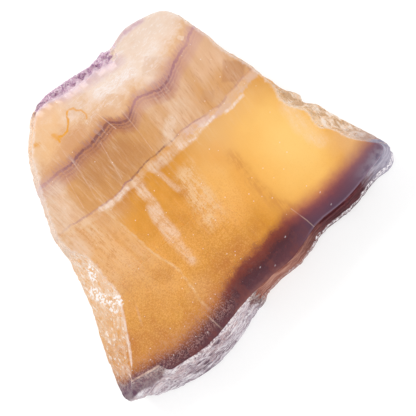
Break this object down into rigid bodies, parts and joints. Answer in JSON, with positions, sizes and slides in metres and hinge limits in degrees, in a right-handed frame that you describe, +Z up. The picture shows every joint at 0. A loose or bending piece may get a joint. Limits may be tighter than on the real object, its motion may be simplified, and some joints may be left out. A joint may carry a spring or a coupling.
{
  "type": "fluorite slab",
  "caption": "Sawn and polished slab of banded amber and purple fluorite with broken, ridged and druzy natural edges, lying flat on its sawn back.",
  "frame": {"origin": "middle of the slab's bounding box, on the sawn back that it rests on", "axes": "+Z up out of the polished face; +X along the dark purple base edge, towards the clear corner; +Y the growth direction, from the purple base towards the druzy crust"},
  "size_m": [0.0745, 0.0696, 0.011],
  "materials": {
    "banded_fluorite": "translucent banded amber, cream and purple, polished on the face, rough on the broken edges"
  },
  "bodies": {
    "root": {"fluorite_slab": "banded_fluorite"}
  },
  "joints": []
}
